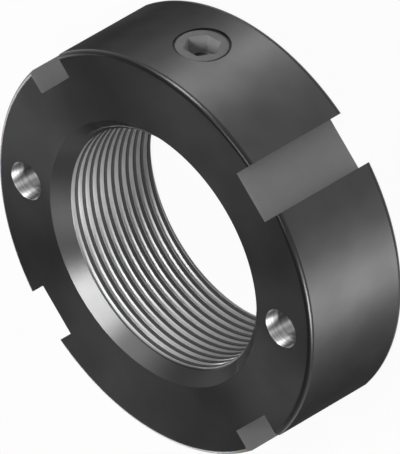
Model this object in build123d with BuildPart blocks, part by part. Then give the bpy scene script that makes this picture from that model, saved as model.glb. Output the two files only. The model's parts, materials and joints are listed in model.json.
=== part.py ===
from build123d import *
from math import radians, sqrt, tan
import os

# Bearing lock nut: a slotted ring nut with a radial set screw and a brass locking peg.
# Millimetres. +Z is the nut's axis and points out of the chamfered front face. The
# bearing face lies at Z = 0, the screw points along +Y and the two pin holes lie on X.

# Ring
outer_diameter = 65.0
thickness = 19.4
front_edge_radius = 0.8
back_edge_radius = 1.0
bore_diameter = 38.6             # crests of the M40 x 1.5 shaft thread
front_lead = 2.15                # 45 degree chamfers at the ends of the bore
back_lead = 0.7

# Hook spanner slots, milled flat from one face to the other
slot_count = 4
slot_width = 8.2
slot_depth = 3.95
first_slot_angle = 45.0

# Pin spanner holes, drilled into the front face
pin_hole_count = 2
pin_hole_diameter = 6.2
pin_hole_depth = 10.0
pin_circle_diameter = 52.9
drill_point_angle = 118.0

# M8 set screw with a hexagon socket and a flat point
screw_diameter = 8.0
screw_length = 8.0
screw_height = 9.2               # its axis above the bearing face
screw_recess = 0.25              # below the crown of the rim, as it rests
screw_edge_chamfer = 0.3
screw_point_diameter = 5.5
hex_width = 5.0                  # across flats
hex_depth = 3.0

# Brass locking peg, pressed onto the shaft thread by the screw
peg_diameter = 6.6
peg_edge_chamfer = 0.4
peg_seat_gap = 0.05              # between the peg and the screw's point

# Hole for the screw and the peg
running_clearance = 0.05         # radial, round the screw and round the peg
clamping_travel = 0.25           # the screw goes this far in to clamp
thread_run_out = 0.5             # tapped length beyond the clamped screw
mouth_widening = 0.18            # of the tapped hole, at the rim
mouth_straight = 0.4             # depth of the widened mouth below the crown

outer_radius = outer_diameter / 2
bore_radius = bore_diameter / 2
slot_floor_distance = outer_radius - slot_depth
pin_radius = pin_hole_diameter / 2
screw_radius = screw_diameter / 2
point_radius = screw_point_diameter / 2
peg_radius = peg_diameter / 2
guide_radius = peg_radius + running_clearance
tapped_radius = screw_radius + running_clearance
mouth_radius = tapped_radius + mouth_widening

# Distances from the nut's axis, outwards along the screw
screw_top = outer_radius - screw_recess
screw_end = screw_top - screw_length
peg_top = screw_end - peg_seat_gap
tapped_end = screw_end - clamping_travel - thread_run_out
mouth_bottom = outer_radius - mouth_straight
hex_bottom = screw_top - hex_depth
hex_corner_radius = hex_width / sqrt(3)
outside = outer_radius + screw_diameter


def drill_point_length(radius):
    # Length of the cone that a drill of this radius leaves at the end of its hole
    return radius / tan(radians(drill_point_angle / 2))


# X runs along the screw, outwards from the nut's axis, and Y runs up
screw_section = Plane(origin=(0, 0, screw_height), x_dir=(0, 1, 0), z_dir=(1, 0, 0))
screw_axis = Axis((0, 0, screw_height), (0, 1, 0))


with BuildPart() as nut_body:
    with BuildSketch(Plane.XZ) as ring_section:
        with Locations((bore_radius, 0)):
            Rectangle(outer_radius - bore_radius, thickness, align=(Align.MIN, Align.MIN))
        back_corner = ring_section.vertices().group_by(Axis.X)[-1].sort_by(Axis.Y)[0]
        fillet(back_corner, back_edge_radius)
        front_corner = ring_section.vertices().group_by(Axis.X)[-1].sort_by(Axis.Y)[-1]
        fillet(front_corner, front_edge_radius)
        bore_corners = ring_section.vertices().group_by(Axis.X)[0].sort_by(Axis.Y)
        chamfer(bore_corners[0], back_lead)
        chamfer(bore_corners[-1], front_lead)
    revolve(axis=Axis.Z)

    # Bars that start at the slots' floors and run out past the rim
    with BuildSketch(Plane.XY):
        with PolarLocations(slot_floor_distance, slot_count, start_angle=first_slot_angle):
            Rectangle(outer_radius, slot_width, align=(Align.MIN, Align.CENTER))
    extrude(amount=thickness, mode=Mode.SUBTRACT)

    # The drill's cylinder, then the cone of its point
    with Locations(Plane.XY.offset(thickness)):
        with PolarLocations(pin_circle_diameter / 2, pin_hole_count):
            Hole(pin_radius, depth=pin_hole_depth)
    with Locations(Plane.XY.offset(thickness - pin_hole_depth)):
        with PolarLocations(pin_circle_diameter / 2, pin_hole_count):
            Cone(0, pin_radius, drill_point_length(pin_radius),
                 align=(Align.CENTER, Align.CENTER, Align.MAX), mode=Mode.SUBTRACT)

    # Guide for the peg, tapped length for the screw, and the widened mouth
    with BuildSketch(screw_section):
        with BuildLine():
            Polyline(
                (0, 0),
                (0, guide_radius),
                (tapped_end, guide_radius),
                (tapped_end, tapped_radius),
                (mouth_bottom - mouth_widening, tapped_radius),
                (mouth_bottom, mouth_radius),
                (outside, mouth_radius),
                (outside, 0),
                close=True,
            )
        make_face()
    revolve(axis=screw_axis, mode=Mode.SUBTRACT)


with BuildPart() as set_screw:
    with BuildSketch(screw_section):
        with BuildLine():
            Polyline(
                (screw_end, 0),
                (screw_end, point_radius),
                (screw_end + screw_radius - point_radius, screw_radius),
                (screw_top - screw_edge_chamfer, screw_radius),
                (screw_top, screw_radius - screw_edge_chamfer),
                (screw_top, 0),
                close=True,
            )
        make_face()
    revolve(axis=screw_axis)

    # Hexagon socket, two of its corners in the plane of the rim, with a drilled bottom
    with BuildSketch(Plane(origin=(0, screw_top, screw_height), x_dir=(1, 0, 0), z_dir=(0, 1, 0))):
        RegularPolygon(hex_corner_radius, 6)
    extrude(amount=-hex_depth, mode=Mode.SUBTRACT)
    with Locations(Plane(origin=(0, hex_bottom, screw_height), x_dir=(1, 0, 0), z_dir=(0, 1, 0))):
        Cone(0, hex_width / 2, drill_point_length(hex_width / 2),
             align=(Align.CENTER, Align.CENTER, Align.MAX), mode=Mode.SUBTRACT)


with BuildPart() as locking_peg:
    with BuildSketch(screw_section):
        with BuildLine():
            Polyline(
                (0, 0),
                (0, peg_radius),
                (peg_top - peg_edge_chamfer, peg_radius),
                (peg_top, peg_radius - peg_edge_chamfer),
                (peg_top, 0),
                close=True,
            )
        make_face()
    revolve(axis=screw_axis)
    # The tip is cut together with the bore, so it lies flush with the thread's crests
    Cylinder(bore_radius, thickness, align=(Align.CENTER, Align.CENTER, Align.MIN),
             mode=Mode.SUBTRACT)


os.makedirs("parts", exist_ok=True)
nut_body.part.label = "nut_body"
set_screw.part.label = "set_screw"
locking_peg.part.label = "locking_peg"
export_step(nut_body.part, "parts/nut_body.step")
export_step(set_screw.part, "parts/set_screw.step")
export_step(locking_peg.part, "parts/locking_peg.step")
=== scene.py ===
import json
import math
import bpy
from mathutils import Matrix, Vector


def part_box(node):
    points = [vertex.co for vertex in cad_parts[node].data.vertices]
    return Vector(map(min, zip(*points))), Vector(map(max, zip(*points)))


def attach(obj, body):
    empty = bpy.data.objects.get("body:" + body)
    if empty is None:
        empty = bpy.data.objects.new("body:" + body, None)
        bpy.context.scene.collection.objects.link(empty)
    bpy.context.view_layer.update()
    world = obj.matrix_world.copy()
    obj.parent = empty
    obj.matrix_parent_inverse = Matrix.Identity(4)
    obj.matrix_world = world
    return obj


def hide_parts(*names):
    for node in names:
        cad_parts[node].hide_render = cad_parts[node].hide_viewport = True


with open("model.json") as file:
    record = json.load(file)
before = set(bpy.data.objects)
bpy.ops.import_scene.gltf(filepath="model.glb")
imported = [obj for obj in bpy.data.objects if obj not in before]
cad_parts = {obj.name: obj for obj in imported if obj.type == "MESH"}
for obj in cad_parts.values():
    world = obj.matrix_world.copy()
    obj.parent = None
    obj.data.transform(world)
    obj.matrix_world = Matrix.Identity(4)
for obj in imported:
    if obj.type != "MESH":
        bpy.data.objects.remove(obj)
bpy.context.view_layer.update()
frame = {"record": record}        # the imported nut, in metres: Z is its axis, and it lies on its bearing face

mm = 0.001
near = 0.01 * mm            # a corner this close to a plane counts as on it
mergeGap = 0.0005 * mm      # corners this close become one
cutGap = 0.0001 * mm        # the same along a cut with a plane
sliverWidth = 0.001 * mm    # faces narrower than this are closed up
quarterTurn = 0.25          # turns a highlight from along the tangent to across it
upright = (0, 0, 1)
outwards = (0, 1, 0)

mounts = {mount["name"]: mount for mount in frame["record"]["mounts"]}
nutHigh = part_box("nut_body")[1]
screwLow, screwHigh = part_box("set_screw")
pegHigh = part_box("locking_peg")[1]
outerRadius = nutHigh.x
thickness = nutHigh.z
boreRadius = mounts["shaft_thread"]["dims"]["r_mm"] * mm
screwRadius = screwHigh.x
screwHeight = (screwLow.z + screwHigh.z) / 2
screwCentre = (0, 0, screwHeight)
pegRadius = pegHigh.x


# Small helpers

def makeActive(obj):
    bpy.ops.object.select_all(action="DESELECT")
    obj.select_set(True)
    bpy.context.view_layer.objects.active = obj


def nameNew(name, material):
    # the primitive just added gets its name and finish, and its place goes into its mesh
    obj = bpy.context.active_object
    obj.name = name
    obj.data.name = name
    obj.data.materials.append(material)
    makeActive(obj)
    bpy.ops.object.transform_apply(location=True, rotation=True, scale=True)
    return obj


def pick(obj, kind, test):
    # leaves obj in edit mode, with the parts selected whose corners pass the test
    makeActive(obj)
    bpy.ops.object.mode_set(mode="EDIT")
    bpy.ops.mesh.select_mode(type=kind)
    bpy.ops.mesh.select_all(action="DESELECT")
    bpy.ops.object.mode_set(mode="OBJECT")
    mesh = obj.data
    for part in mesh.edges if kind == "EDGE" else mesh.polygons:
        part.select = test([mesh.vertices[i].co for i in part.vertices])
    bpy.ops.object.mode_set(mode="EDIT")


def bevelAt(obj, height, width, steps=1):
    # the edges that lie at this height are bevelled
    pick(obj, "EDGE", lambda corners: all(abs(c.z - height) < near for c in corners))
    bpy.ops.mesh.bevel(offset=width, segments=steps, affect="EDGES")
    bpy.ops.object.mode_set(mode="OBJECT")


def cutBelow(obj, height):
    # what lies above this height stays, and the cut is closed
    pick(obj, "FACE", lambda corners: True)
    bpy.ops.mesh.bisect(plane_co=(0, 0, height), plane_no=upright, use_fill=True, clear_inner=True,
                        threshold=cutGap)
    bpy.ops.object.mode_set(mode="OBJECT")


def applyModifier(obj, kind, settings):
    makeActive(obj)
    modifier = obj.modifiers.new(kind, kind)
    for name, value in settings.items():
        setattr(modifier, name, value)
    bpy.ops.object.modifier_apply(modifier=modifier.name)


def combine(obj, tool, operation="DIFFERENCE"):
    # the surfaces that the tool cuts take the tool's finish
    applyModifier(obj, "BOOLEAN", {"object": tool, "operation": operation, "solver": "EXACT",
                                   "material_mode": "TRANSFER"})
    bpy.data.objects.remove(tool)


def smooth(obj, sharpAngle=25):
    # faces of no width, which the cuts leave along their edges, are closed up first
    pick(obj, "FACE", lambda corners: True)
    bpy.ops.mesh.quads_convert_to_tris(quad_method="BEAUTY", ngon_method="BEAUTY")
    bpy.ops.mesh.dissolve_degenerate(threshold=sliverWidth)
    bpy.ops.object.mode_set(mode="OBJECT")
    bpy.ops.object.shade_smooth_by_angle(angle=math.radians(sharpAngle))
    # large faces look flat up to their edges
    applyModifier(obj, "WEIGHTED_NORMAL", {"keep_sharp": True, "weight": 90})


def copyOf(obj):
    twin = obj.copy()
    twin.data = obj.data.copy()
    bpy.context.scene.collection.objects.link(twin)
    return twin


def toScrewAxis(obj):
    # what was made upright round Z is laid along +Y, at the height of the set screw
    obj.rotation_euler = (math.radians(-90), 0, 0)
    obj.location = (0, 0, screwHeight)
    makeActive(obj)
    bpy.ops.object.transform_apply(location=True, rotation=True, scale=True)
    return obj


# Node helpers

def linear(hexColour):
    # sRGB to linear light, by the sRGB curve
    channels = [int(hexColour[i:i + 2], 16) / 255 for i in (1, 3, 5)]
    return [c / 12.92 if c <= 0.04045 else ((c + 0.055) / 1.055) ** 2.4 for c in channels] + [1]


def addNode(tree, kind, settings=None, links=None):
    # settings with a capital or a number are sockets, the others belong to the node
    node = tree.nodes.new("ShaderNode" + kind)
    for name, value in (settings or {}).items():
        if isinstance(name, int) or name[0].isupper():
            node.inputs[name].default_value = value
        else:
            setattr(node, name, value)
    for name, source in (links or {}).items():
        tree.links.new(source, node.inputs[name])
    return node


def newMaterial(name):
    material = bpy.data.materials.new(name)
    material.use_nodes = True
    tree = material.node_tree
    return material, tree, tree.nodes["Principled BSDF"]


print("materials")

# Each finish has two close shades that drift in clouds, and rings from the tool's feed. A real
# finishing feed is about 0.1 mm, too fine to show, so the rings are drawn coarser. A low edge
# tint keeps the black film dark at a glancing angle.
facedLook = {       # blackened steel, faced: fine rings that shine in rays from the axis
    "dark": "#616161", "light": "#686868", "cloud": 6 * mm, "metallic": 1, "roughness": 0.3,
    "anisotropy": 0.8, "specular": 0.5, "edgeTint": 0.05, "feed": 0.35 * mm, "feedDepth": 0.0004 * mm,
}
rimLook = {         # blackened steel, turned: a softer shine in bands along the axis
    "dark": "#474747", "light": "#4e4e4e", "cloud": 6 * mm, "metallic": 1, "roughness": 0.56,
    "anisotropy": 0.8, "specular": 0.5, "edgeTint": 0.3, "feed": 0.35 * mm, "feedDepth": 0.0004 * mm,
}
roundedLook = {     # blackened steel, edges rounded: deep black with a thin line of gloss
    "dark": "#1c1c1c", "light": "#212121", "cloud": 6 * mm, "metallic": 0, "roughness": 0.32,
    "anisotropy": 0, "specular": 0.3, "edgeTint": 1, "feed": 0.35 * mm, "feedDepth": 0.0001 * mm,
}
chamferLook = {     # blackened steel, chamfered: satin that catches one bright patch
    "dark": "#626262", "light": "#686868", "cloud": 6 * mm, "metallic": 1, "roughness": 0.31,
    "anisotropy": 0, "specular": 0.5, "edgeTint": 0.1, "feed": 0.35 * mm, "feedDepth": 0.0003 * mm,
}
screwLook = {       # alloy steel, phosphated: dull grey, lighter than the nut
    "dark": "#5b5b5b", "light": "#626262", "cloud": 2 * mm, "metallic": 0, "roughness": 0.6,
    "anisotropy": 0, "specular": 0.5, "edgeTint": 1, "feed": 0.2 * mm, "feedDepth": 0.0003 * mm,
}
paintedLightSocketLook = {      # alloy steel, the screw's own, painted paler on the socket's flats as light falling in
    "dark": "#9a9a9a", "light": "#a2a2a2", "cloud": 2 * mm, "metallic": 0, "roughness": 0.5,
    "anisotropy": 0, "specular": 0.5, "edgeTint": 1, "feed": 0.2 * mm, "feedDepth": 0.0002 * mm,
}
brassLook = {       # brass, turned: warm and satin
    "dark": "#b8923f", "light": "#c9a552", "cloud": 2 * mm, "metallic": 1, "roughness": 0.35,
    "anisotropy": 0.5, "specular": 0.5, "edgeTint": 1, "feed": 0.2 * mm, "feedDepth": 0.0003 * mm,
}
shadeLevels = (0.3, 0.7)     # the clouds' noise where the dark shade ends and the light one starts


def turnedMetal(name, look, axis=upright, centre=(0, 0, 0)):
    # metal turned on a lathe: fine rings round the axis stretch each highlight across them, so
    # a face shines in rays from its centre and a rim in bands along the axis
    material, tree, shader = newMaterial(name)
    place = addNode(tree, "TexCoord").outputs["Object"]
    offset = addNode(tree, "VectorMath", {"operation": "SUBTRACT", 1: centre}, {0: place})
    tangent = addNode(tree, "VectorMath", {"operation": "CROSS_PRODUCT", 0: axis},
                      {1: offset.outputs[0]})
    radius = addNode(tree, "VectorMath", {"operation": "LENGTH"}, {0: tangent.outputs[0]})
    along = addNode(tree, "VectorMath", {"operation": "DOT_PRODUCT", 0: axis},
                    {1: offset.outputs[0]})
    path = addNode(tree, "Math", {"operation": "ADD"},
                   {0: radius.outputs["Value"], 1: along.outputs["Value"]})
    rings = addNode(tree, "Math", {"operation": "DIVIDE", 1: look["feed"]}, {0: path.outputs[0]})
    marks = addNode(tree, "TexNoise", {"noise_dimensions": "1D", "Scale": 1, "Detail": 2},
                    {"W": rings.outputs[0]})
    bump = addNode(tree, "Bump", {"Distance": look["feedDepth"], "Strength": 1},
                   {"Height": marks.outputs[0]})
    clouds = addNode(tree, "TexNoise", {"Scale": 1 / look["cloud"], "Detail": 3}, {"Vector": place})
    colour = addNode(tree, "ValToRGB", links={0: clouds.outputs[0]})
    for end, position, shade in zip(colour.color_ramp.elements, shadeLevels, ("dark", "light")):
        end.position = position
        end.color = linear(look[shade])
    shader.inputs["Metallic"].default_value = look["metallic"]
    shader.inputs["Roughness"].default_value = look["roughness"]
    shader.inputs["Anisotropic"].default_value = look["anisotropy"]
    shader.inputs["Anisotropic Rotation"].default_value = quarterTurn
    shader.inputs["Specular IOR Level"].default_value = look["specular"]
    shader.inputs["Specular Tint"].default_value = (look["edgeTint"],) * 3 + (1,)
    tree.links.new(tangent.outputs[0], shader.inputs["Tangent"])
    tree.links.new(bump.outputs[0], shader.inputs["Normal"])
    tree.links.new(colour.outputs[0], shader.inputs["Base Color"])
    return material


milledLook = {
    "dark": "#757575", "light": "#7d7d7d", "roughness": 0.6,
    "grain": 1.6 * mm, "grainDepth": 0.002 * mm,
}


def milledSteel():
    # steel cut by an end mill: dull, even grey with a faint grain
    material, tree, shader = newMaterial("milledSteel")
    place = addNode(tree, "TexCoord").outputs["Object"]
    grain = addNode(tree, "TexNoise", {"Scale": 1 / milledLook["grain"], "Detail": 4},
                    {"Vector": place})
    colour = addNode(tree, "ValToRGB", links={0: grain.outputs[0]})
    colour.color_ramp.elements[0].color = linear(milledLook["dark"])
    colour.color_ramp.elements[1].color = linear(milledLook["light"])
    bump = addNode(tree, "Bump", {"Distance": milledLook["grainDepth"], "Strength": 1},
                   {"Height": grain.outputs[0]})
    shader.inputs["Metallic"].default_value = 0
    shader.inputs["Roughness"].default_value = milledLook["roughness"]
    tree.links.new(colour.outputs[0], shader.inputs["Base Color"])
    tree.links.new(bump.outputs[0], shader.inputs["Normal"])
    return material


threadLook = {
    # the two flank colours are painted shade (facing the back) and painted light (facing the front)
    "film": "#484848", "paintedShadeFlank": "#828282", "paintedLightFlank": "#efefef",
    "filmRoughness": 0.6, "flankRoughness": 0.42, "anisotropy": 0.25,
    "filmEnds": 0.12 * mm, "filmFades": 0.02 * mm,               # depth below the crests
    "filmedTurn": 16.9 * mm, "filmedTurnFades": 0.25 * mm,       # all above this height is filmed
    "flankFades": 0.2,       # how far up or down a flank's normal points before its shade is full
}


def cutThreadSteelWithPaintedLight():
    # steel threaded after blackening: its flanks are bare and bright, with painted light and shade on them,
    # lighter where they face the front and darker where they face the back; the crests, left of the bored
    # wall, keep the black film, as does the last turn
    material, tree, shader = newMaterial("cutThreadSteelWithPaintedLight")
    coordinates = addNode(tree, "TexCoord")
    place = coordinates.outputs["Object"]
    flat = addNode(tree, "VectorMath", {"operation": "MULTIPLY", 1: (1, 1, 0)}, {0: place})
    radius = addNode(tree, "VectorMath", {"operation": "LENGTH"}, {0: flat.outputs[0]})
    tangent = addNode(tree, "VectorMath", {"operation": "CROSS_PRODUCT", 0: upright}, {1: place})
    filmEnd = boreRadius + threadLook["filmEnds"]
    deep = addNode(tree, "MapRange",
                   {"From Min": filmEnd, "From Max": filmEnd + threadLook["filmFades"]},
                   {"Value": radius.outputs["Value"]})
    height = addNode(tree, "SeparateXYZ", links={0: place})
    whole = addNode(tree, "MapRange",
                    {"From Min": threadLook["filmedTurn"],
                     "From Max": threadLook["filmedTurn"] - threadLook["filmedTurnFades"]},
                    {"Value": height.outputs["Z"]})
    bare = addNode(tree, "Math", {"operation": "MULTIPLY"},
                   {0: deep.outputs[0], 1: whole.outputs[0]})
    # painted light and shade: a flank's colour turns from the darker to the lighter one as its normal turns
    # from the back to the front
    facing = addNode(tree, "SeparateXYZ", links={0: coordinates.outputs["Normal"]})
    paintedLightSide = addNode(tree, "MapRange",
                    {"From Min": -threadLook["flankFades"], "From Max": threadLook["flankFades"]},
                    {"Value": facing.outputs["Z"]})
    paintedLightFlank = addNode(tree, "Mix",
                    {"data_type": "RGBA", 6: linear(threadLook["paintedShadeFlank"]),
                     7: linear(threadLook["paintedLightFlank"])},
                    {0: paintedLightSide.outputs[0]})
    colour = addNode(tree, "Mix", {"data_type": "RGBA", 6: linear(threadLook["film"])},
                     {0: bare.outputs[0], 7: paintedLightFlank.outputs[2]})
    rough = addNode(tree, "MapRange",
                    {"To Min": threadLook["filmRoughness"], "To Max": threadLook["flankRoughness"]},
                    {"Value": bare.outputs[0]})
    shader.inputs["Metallic"].default_value = 1
    shader.inputs["Anisotropic"].default_value = threadLook["anisotropy"]
    shader.inputs["Anisotropic Rotation"].default_value = quarterTurn
    tree.links.new(tangent.outputs[0], shader.inputs["Tangent"])
    tree.links.new(colour.outputs[2], shader.inputs["Base Color"])
    tree.links.new(rough.outputs[0], shader.inputs["Roughness"])
    return material


drilledLook = {      # drilled after blackening: bare and bright
    "dark": "#9a9a9a", "light": "#e8e8e8", "roughness": 0.65, "anisotropy": 1,
}
tappedFilmAndHoleShadeLook = {       # drilled and tapped before blackening: black film, painted darker than the faces as shade in the holes
    "dark": "#2c2c2c", "light": "#323232", "roughness": 0.5, "anisotropy": 0.5,
}
drillMarks = {       # a real feed is about 0.2 mm, and is drawn coarser to show
    "feed": 0.5 * mm, "ringShare": 0.3, "paintedReflectionBands": 2.2, "shadeLevels": (0.5, 0.8),
}


def drilledSteel(name, look, axis):
    # steel cut by a drill: fine rings round the hole's own axis, and light and dark bands along it,
    # a painted reflection that follows the way the wall faces
    material, tree, shader = newMaterial(name)
    coordinates = addNode(tree, "TexCoord")
    normal = addNode(tree, "NewGeometry").outputs["Normal"]
    tangent = addNode(tree, "VectorMath", {"operation": "CROSS_PRODUCT", 0: axis}, {1: normal})
    along = addNode(tree, "VectorMath", {"operation": "DOT_PRODUCT", 1: axis},
                    {0: coordinates.outputs["Object"]})
    rings = addNode(tree, "Math", {"operation": "DIVIDE", 1: drillMarks["feed"]},
                    {0: along.outputs["Value"]})
    marks = addNode(tree, "TexNoise", {"noise_dimensions": "1D", "Scale": 1, "Detail": 2},
                    {"W": rings.outputs[0]})
    # painted reflection: light and dark bands along the hole, found from the way its wall faces
    paintedReflectionBands = addNode(tree, "TexNoise", {"Scale": drillMarks["paintedReflectionBands"], "Detail": 1},
                      {"Vector": coordinates.outputs["Normal"]})
    both = addNode(tree, "Math", {"operation": "MULTIPLY_ADD", 1: drillMarks["ringShare"]},
                   {0: marks.outputs[0], 2: paintedReflectionBands.outputs[0]})
    colour = addNode(tree, "ValToRGB", links={0: both.outputs[0]})
    for end, position, shade in zip(colour.color_ramp.elements, drillMarks["shadeLevels"],
                                    ("dark", "light")):
        end.position = position
        end.color = linear(look[shade])
    shader.inputs["Metallic"].default_value = 1
    shader.inputs["Roughness"].default_value = look["roughness"]
    shader.inputs["Anisotropic"].default_value = look["anisotropy"]
    shader.inputs["Anisotropic Rotation"].default_value = quarterTurn
    tree.links.new(tangent.outputs[0], shader.inputs["Tangent"])
    tree.links.new(colour.outputs[0], shader.inputs["Base Color"])
    return material


faced = turnedMetal("facedBlackSteel", facedLook)
turnedRim = turnedMetal("turnedBlackSteel", rimLook)
roundedEdge = turnedMetal("roundedBlackSteel", roundedLook)
chamfered = turnedMetal("chamferedBlackSteel", chamferLook)
milled = milledSteel()
threaded = cutThreadSteelWithPaintedLight()
drilled = drilledSteel("drilledSteel", drilledLook, upright)
tappedFilmAndHoleShade = drilledSteel("tappedBlackSteelHoleShade", tappedFilmAndHoleShadeLook, outwards)
phosphated = turnedMetal("phosphatedScrewSteel", screwLook, outwards, screwCentre)
paintedLightSocketWall = turnedMetal("socketScrewSteelPaintedLight", paintedLightSocketLook, outwards, screwCentre)
brass = turnedMetal("machinedBrass", brassLook, outwards, screwCentre)


print("threads")

profileAngle = 60        # degrees, of a metric thread
turnsBefore = 1.5        # swept below the lower end, so that the cut there meets a whole thread
turnsToSpare = 3         # swept beyond what the length holds


def threadRod(name, material, size, low, high):
    # one pitch of the profile, swept round Z by a screw and cut flat at both ends
    slope = math.tan(math.radians(profileAngle / 2))
    pitch = size["pitch"]
    foot = pitch / 2 + 2 * (size["pitchRadius"] - size["coreRadius"]) * slope
    crest = pitch / 2 + 2 * (size["pitchRadius"] - size["crestRadius"]) * slope
    rise = size["crestRadius"] - size["coreRadius"]
    start = low - (turnsBefore - size["phase"]) * pitch
    bpy.ops.mesh.primitive_plane_add(size=pitch, location=(size["coreRadius"], 0, start))
    rod = nameNew(name, material)
    bpy.ops.object.mode_set(mode="EDIT")
    bpy.ops.mesh.select_mode(type="VERT")
    bpy.ops.mesh.select_all(action="SELECT")
    bpy.ops.mesh.merge(type="CENTER")
    for step in ((0, 0, pitch - foot), (rise, 0, (foot - crest) / 2), (0, 0, crest),
                 (-rise, 0, (foot - crest) / 2)):
        bpy.ops.mesh.extrude_region_move(TRANSFORM_OT_translate={"value": step})
    bpy.ops.object.mode_set(mode="OBJECT")
    applyModifier(rod, "SCREW", {
        "axis": "Z", "angle": math.tau, "screw_offset": pitch, "steps": size["steps"],
        "render_steps": size["steps"], "iterations": math.ceil((high - low) / pitch) + turnsToSpare})
    bpy.ops.object.mode_set(mode="EDIT")
    bpy.ops.mesh.select_all(action="SELECT")
    bpy.ops.mesh.remove_doubles(threshold=mergeGap)
    bpy.ops.mesh.bisect(plane_co=(0, 0, low), plane_no=upright, use_fill=True, clear_inner=True,
                        threshold=cutGap)
    bpy.ops.mesh.select_all(action="SELECT")
    bpy.ops.mesh.bisect(plane_co=(0, 0, high), plane_no=upright, use_fill=True, clear_outer=True,
                        threshold=cutGap)
    bpy.ops.mesh.select_all(action="SELECT")
    bpy.ops.mesh.normals_make_consistent(inside=False)
    bpy.ops.object.mode_set(mode="OBJECT")
    return rod


overcut = 1 * mm        # how far a tool reaches past the surface that it cuts
shaftThread = {         # M40 x 1.5, the grooves that a tap leaves in the bore
    "pitch": 1.5 * mm, "pitchRadius": 19.513 * mm, "coreRadius": boreRadius,
    "crestRadius": 20.0 * mm, "steps": 240, "phase": 0.14,
}
shaftTap = threadRod("shaftTap", threaded, shaftThread, -overcut, thickness + overcut)


print("ring")

ring = {
    "segments": 360, "frontEdge": 0.8 * mm, "backEdge": 1 * mm, "edgeSteps": 8,
    "frontLead": 2.15 * mm, "backLead": 0.7 * mm, "holeSegments": 96, "drillPoint": 118,
    "slotCount": 4, "slotWidth": 8.2 * mm, "slotDepth": 3.95 * mm, "firstSlot": 45,
    "rimTilt": 0.01, "faceTilt": 0.99,      # a rim's normal rises by less, a face's by more
}

bpy.ops.mesh.primitive_cylinder_add(vertices=ring["segments"], radius=outerRadius, depth=thickness,
                                    location=(0, 0, thickness / 2))
slottedRing = nameNew("slottedRing", turnedRim)
bevelAt(slottedRing, thickness, ring["frontEdge"], ring["edgeSteps"])
bevelAt(slottedRing, 0, ring["backEdge"], ring["edgeSteps"])
slottedRing.data.materials.append(roundedEdge)
slottedRing.data.materials.append(faced)
for face in slottedRing.data.polygons:
    tilt = abs(face.normal.z)
    face.material_index = 0 if tilt < ring["rimTilt"] else 1 if tilt < ring["faceTilt"] else 2

# slots for a hook spanner: bars that start at the slots' flat floors and run out past the rim
bpy.ops.mesh.primitive_cube_add(size=1)
bpy.context.active_object.scale = (ring["slotDepth"] * 3, ring["slotWidth"], thickness + 2 * overcut)
bpy.context.active_object.location = (outerRadius + ring["slotDepth"] / 2, 0, thickness / 2)
slotBar = nameNew("slotBar", milled)
for number in range(ring["slotCount"]):
    bar = copyOf(slotBar)
    bar.rotation_euler = (0, 0, math.radians(ring["firstSlot"] + 360 / ring["slotCount"] * number))
    combine(slottedRing, bar)
bpy.data.objects.remove(slotBar)

# the chamfers at the ends of the bore, then its thread
for lead, face, side in ((ring["frontLead"], thickness, 1), (ring["backLead"], 0, -1)):
    inner = boreRadius - overcut
    outer = boreRadius + lead + overcut
    wide, narrow = (inner, outer) if side > 0 else (outer, inner)
    middle = face + side * (overcut - (outer - inner) / 2)
    bpy.ops.mesh.primitive_cone_add(vertices=ring["segments"], radius1=wide, radius2=narrow,
                                    depth=outer - inner, location=(0, 0, middle))
    combine(slottedRing, nameNew("leadCone", chamfered))
combine(slottedRing, copyOf(shaftTap))


def drillTool(name, material, radius, low, high):
    # a drill: its cylinder, and the cone of its point below it
    bpy.ops.mesh.primitive_cylinder_add(vertices=ring["holeSegments"], radius=radius,
                                        depth=high - low, location=(0, 0, (low + high) / 2))
    tool = nameNew(name, material)
    pick(tool, "FACE", lambda corners: all(abs(c.z - low) < near for c in corners))
    point = radius / math.tan(math.radians(ring["drillPoint"] / 2))
    bpy.ops.mesh.extrude_region_move(TRANSFORM_OT_translate={"value": (0, 0, -point)})
    bpy.ops.mesh.merge(type="CENTER")
    bpy.ops.object.mode_set(mode="OBJECT")
    return tool


pinHole = mounts["pin_hole_1"]["dims"]
pinDrill = drillTool("pinDrill", drilled, pinHole["r_mm"] * mm,
                     thickness - pinHole["length_mm"] * mm, thickness + overcut)
for name in ("pin_hole_1", "pin_hole_2"):
    drill = copyOf(pinDrill)
    drill.location = (mounts[name]["pos_m"][0], mounts[name]["pos_m"][1], 0)
    combine(slottedRing, drill)
bpy.data.objects.remove(pinDrill)

# the stepped hole for the screw and the peg, from the bore outwards
screwHole = {
    "guideRadius": pegRadius + 0.05 * mm, "threadEnd": screwLow.y - 0.75 * mm,
    "mouthRadius": screwRadius + 0.33 * mm, "mouthDepth": 0.4 * mm,
}
setThread = {            # M8 x 1.25
    "pitch": 1.25 * mm, "pitchRadius": 3.594 * mm, "coreRadius": 3.25 * mm,
    "crestRadius": screwRadius - 0.005 * mm, "steps": 72, "phase": 0,
}
threadPlay = 0.05 * mm   # radial, between the screw's thread and the nut's
holeThread = dict(setThread, pitchRadius=setThread["pitchRadius"] + threadPlay,
                  coreRadius=screwHole["guideRadius"] + threadPlay,
                  crestRadius=screwRadius + threadPlay)
# both threads start at the same height, so that they mesh
threadStart = screwHole["threadEnd"] - 2 * overcut
guideDrill = drillTool("guideDrill", tappedFilmAndHoleShade, screwHole["guideRadius"],
                       boreRadius - 2 * overcut, screwHole["threadEnd"] + overcut)
combine(slottedRing, toScrewAxis(guideDrill))
tapTool = threadRod("screwTap", tappedFilmAndHoleShade, holeThread, threadStart, outerRadius + overcut)
cutBelow(tapTool, screwHole["threadEnd"])
combine(slottedRing, toScrewAxis(tapTool))
bpy.ops.mesh.primitive_cylinder_add(
    vertices=ring["holeSegments"], radius=screwHole["mouthRadius"],
    depth=screwHole["mouthDepth"] + overcut,
    location=(0, 0, outerRadius + (overcut - screwHole["mouthDepth"]) / 2))
combine(slottedRing, toScrewAxis(nameNew("mouthTool", tappedFilmAndHoleShade)))

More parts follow.
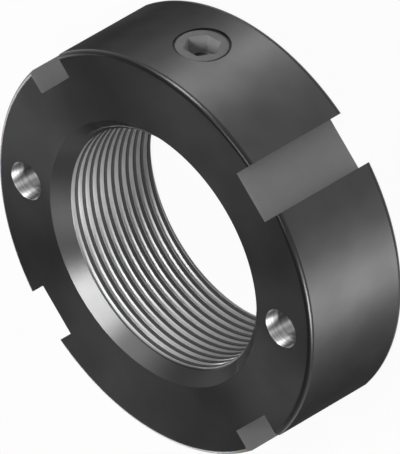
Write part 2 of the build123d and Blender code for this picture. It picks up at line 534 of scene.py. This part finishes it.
smooth(slottedRing)
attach(slottedRing, "nut")
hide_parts("nut_body")


print("set screw")

setScrew = {
    "collar": 0.5 * mm, "edge": 0.15 * mm, "edgeSteps": 3, "threadStop": 0.1 * mm,
    "pointRadius": 2.75 * mm, "blankPlay": 0.01 * mm,
    "hexWidth": 5 * mm, "hexDepth": 3 * mm, "hexTurn": 30,
}
screwTop = screwHigh.y
screwEnd = screwLow.y

# the thread stops inside the plain collar at the socket's end
socketScrew = threadRod("socketScrew", phosphated, setThread, threadStart,
                        screwTop - setScrew["edge"] - setScrew["threadStop"])
cutBelow(socketScrew, screwEnd)
bpy.ops.mesh.primitive_cylinder_add(
    vertices=ring["holeSegments"], radius=screwRadius, depth=setScrew["collar"],
    location=(0, 0, screwTop - setScrew["collar"] / 2))
collar = nameNew("collar", phosphated)
bevelAt(collar, screwTop, setScrew["edge"], setScrew["edgeSteps"])
combine(socketScrew, collar, "UNION")

# the flat point: only what lies inside a blank with a bevelled end stays
bpy.ops.mesh.primitive_cylinder_add(
    vertices=ring["holeSegments"], radius=screwRadius + setScrew["blankPlay"],
    depth=screwTop + overcut - screwEnd, location=(0, 0, (screwTop + overcut + screwEnd) / 2))
blank = nameNew("blank", phosphated)
bevelAt(blank, screwEnd, screwRadius - setScrew["pointRadius"])
combine(socketScrew, blank, "INTERSECT")

# hexagon socket, two corners in the plane of the rim, with a drilled bottom
bpy.ops.mesh.primitive_cylinder_add(
    vertices=6, radius=setScrew["hexWidth"] / math.sqrt(3), depth=setScrew["hexDepth"] + overcut,
    location=(0, 0, screwTop + (overcut - setScrew["hexDepth"]) / 2),
    rotation=(0, 0, math.radians(setScrew["hexTurn"])))
# the socket's flats take the screw steel painted paler: painted light
combine(socketScrew, nameNew("hexTool", paintedLightSocketWall))
# the socket's drilled bottom takes the same nearly black finish: painted shade at the bottom of the recess
combine(socketScrew, drillTool("socketDrill", tappedFilmAndHoleShade, setScrew["hexWidth"] / 2,
                               screwTop - setScrew["hexDepth"], screwTop + overcut))
toScrewAxis(socketScrew)
smooth(socketScrew)
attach(socketScrew, "screw")
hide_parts("set_screw")


print("peg")

peg = {"edge": 0.4 * mm}
pegTop = pegHigh.y
bpy.ops.mesh.primitive_cylinder_add(
    vertices=ring["holeSegments"], radius=pegRadius, depth=pegTop - boreRadius + 2 * overcut,
    location=(0, 0, (pegTop + boreRadius - 2 * overcut) / 2))
threadedPeg = nameNew("threadedPeg", brass)
bevelAt(threadedPeg, pegTop, peg["edge"])
toScrewAxis(threadedPeg)
shaftTap.data.materials.clear()        # the tip is cut together with the bore
shaftTap.data.materials.append(brass)
combine(threadedPeg, shaftTap)
smooth(threadedPeg)
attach(threadedPeg, "peg")
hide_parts("locking_peg")


print("studio")

studio = {
    "floorSize": 6.0, "floorDrop": 0.002 * mm, "floorColour": "#f4f4f4", "floorRoughness": 0.9,
    "floorGlow": 0.93, "lampDistance": 2.0,
    # the light of the walls and the ceiling, and the heights in the sky where one turns to the other
    "skyLow": 0.7, "skyHigh": 0.06, "wallTop": 0.1, "ceilingEdge": 0.45,
    # the heights between which the walls turn to white
    "wallFoot": 0.03, "horizon": 0.02,
}
softboxes = {
    # azimuth from +X and elevation, width and height, all in degrees as seen from the nut, and
    # the level: at 1 a white card that faces the lamp renders as white
    "keyStrip": (58.7, 60.8, 36, 8.7, 0.62),
    "backBox": (236, 10, 24, 18, 0.46),
    "farLeftBox": (204, 16, 24, 18, 0.46),
    "leftStrip": (108, 16.5, 15, 30, 1.36),
    "rightStrip": (-17, 16, 18, 20, 1.9),
}
# these show in shiny surfaces and light no dull ones
glossOnly = ("leftStrip", "rightStrip")


def addFloor():
    bpy.ops.mesh.primitive_plane_add(size=studio["floorSize"], location=(0, 0, -studio["floorDrop"]))
    material, tree, shader = newMaterial("paleFloor")
    shader.inputs["Base Color"].default_value = linear(studio["floorColour"])
    shader.inputs["Roughness"].default_value = studio["floorRoughness"]
    shader.inputs["Specular IOR Level"].default_value = 0
    # the floor glows white for the camera and in reflections, and still takes the nut's shadow
    path = addNode(tree, "LightPath")
    seen = addNode(tree, "Math", {"operation": "MAXIMUM"},
                   {0: path.outputs["Is Camera Ray"], 1: path.outputs["Is Glossy Ray"]})
    seenToo = addNode(tree, "Math", {"operation": "MAXIMUM"},
                      {0: seen.outputs[0], 1: path.outputs["Is Transmission Ray"]})
    share = addNode(tree, "Math", {"operation": "MULTIPLY", 1: studio["floorGlow"]},
                    {0: seenToo.outputs[0]})
    glow = addNode(tree, "Emission", {"Color": (1, 1, 1, 1), "Strength": 1})
    mix = addNode(tree, "MixShader",
                  links={0: share.outputs[0], 1: shader.outputs[0], 2: glow.outputs[0]})
    tree.links.new(mix.outputs[0], tree.nodes["Material Output"].inputs["Surface"])
    nameNew("floor", material)


def addWorld():
    # a studio with pale walls and a dark ceiling, white below the horizon, as the floor is
    world = bpy.data.worlds.new("studioWorld")
    bpy.context.scene.world = world
    world.use_nodes = True
    tree = world.node_tree
    direction = addNode(tree, "TexCoord").outputs["Generated"]
    height = addNode(tree, "SeparateXYZ", links={0: direction})
    level = addNode(tree, "MapRange",
                    {"interpolation_type": "SMOOTHSTEP",
                     "From Min": studio["wallTop"], "From Max": studio["ceilingEdge"],
                     "To Min": studio["skyLow"], "To Max": studio["skyHigh"]},
                    {"Value": height.outputs["Z"]})
    below = addNode(tree, "MapRange",
                    {"From Min": studio["wallFoot"], "From Max": studio["horizon"]},
                    {"Value": height.outputs["Z"]})
    strength = addNode(tree, "Math", {"operation": "MAXIMUM"},
                       {0: level.outputs[0], 1: below.outputs[0]})
    tree.links.new(strength.outputs[0], tree.nodes["Background"].inputs["Strength"])
    tree.nodes["Background"].inputs["Color"].default_value = (1, 1, 1, 1)


def addSoftboxes():
    aim = Vector((0, 0, thickness / 2))
    for name, (azimuth, elevation, width, height, level) in softboxes.items():
        a, e = math.radians(azimuth), math.radians(elevation)
        away = Vector((math.cos(a) * math.cos(e), math.sin(a) * math.cos(e), math.sin(e)))
        lamp = bpy.data.lights.new(name, "AREA")
        lamp.shape = "RECTANGLE"
        lamp.size = 2 * studio["lampDistance"] * math.tan(math.radians(width / 2))
        lamp.size_y = 2 * studio["lampDistance"] * math.tan(math.radians(height / 2))
        lamp.energy = level * (math.pi * studio["lampDistance"]) ** 2
        holder = bpy.data.objects.new(name, lamp)
        bpy.context.scene.collection.objects.link(holder)
        holder.location = aim + away * studio["lampDistance"]
        holder.rotation_euler = away.to_track_quat("Z", "Y").to_euler()
        holder.visible_diffuse = name not in glossOnly


view = {
    # the photo is an isometric view, so a long lens comes close to its parallel lines
    "lens": 1400, "longSidePixels": 454, "pixelsPerMetre": 6806,
    # the middle of the picture, and of the nut in it, in pixels
    "middle": Vector((200, 227)), "nutMiddle": Vector((199.65, 227.25)),
}


def addCamera():
    camera = bpy.data.objects.new("camera", bpy.data.cameras.new("camera"))
    bpy.context.scene.collection.objects.link(camera)
    bpy.context.scene.camera = camera
    back = Vector((1, 1, 1)).normalized()
    right = Vector((0, 1, 0)).cross(back).normalized()
    up = back.cross(right)
    camera.data.lens = view["lens"]
    distance = view["longSidePixels"] / view["pixelsPerMetre"] * view["lens"] / camera.data.sensor_width
    offset = (view["middle"] - view["nutMiddle"]) / view["pixelsPerMetre"]
    aim = Vector((0, 0, thickness / 2)) + right * offset.x - up * offset.y
    axes = Matrix((right, up, back)).transposed().to_4x4()
    camera.matrix_world = Matrix.Translation(aim + back * distance) @ axes


addFloor()
addWorld()
addSoftboxes()
addCamera()
bpy.context.scene.view_settings.view_transform = "Standard"

print("done")
